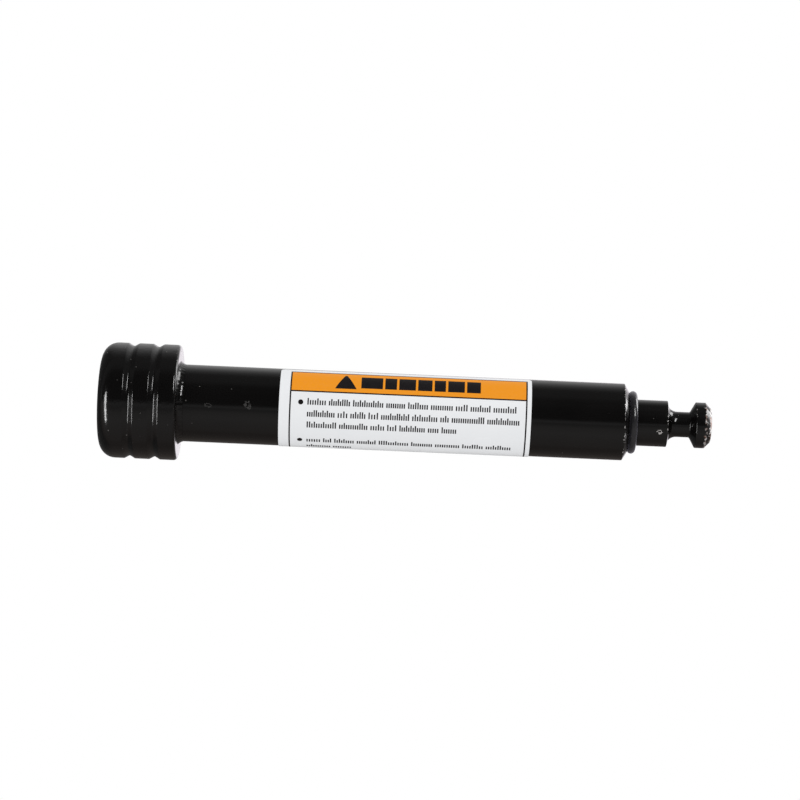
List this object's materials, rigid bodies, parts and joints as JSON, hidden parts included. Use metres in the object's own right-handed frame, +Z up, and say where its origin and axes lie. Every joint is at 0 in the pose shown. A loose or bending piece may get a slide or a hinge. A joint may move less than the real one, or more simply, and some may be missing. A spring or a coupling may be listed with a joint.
{
  "type": "hitch lock pin",
  "caption": "Round hitch pin with a grooved head, a printed label, a rubber seal ring and a necked, grooved end that a key lock body snaps on to.",
  "frame": {"origin": "on the pin's axis, half way between the head's inner face and the shank's end face", "axes": "+X along the pin towards the locking end, -Y towards the middle of the printed label, +Z up"},
  "size_m": [0.1251, 0.0237, 0.0236],
  "materials": {
    "black_paint": "glossy black paint on steel, with a slight orange peel",
    "seal_rubber": "smooth, slightly oily black rubber",
    "label_film": "white vinyl film, semi-gloss, printed orange and black"
  },
  "bodies": {
    "pin": {"pin_bar": "black_paint", "pin_head": "black_paint", "head_weld": "black_paint", "label": "label_film"},
    "seal": {"o_ring": "seal_rubber"}
  },
  "joints": [
    {"name": "ring_slide", "type": "slide", "parent": "pin", "child": "seal", "axis": [1, 0, 0], "range_m": [0, 0.0063]}
  ]
}
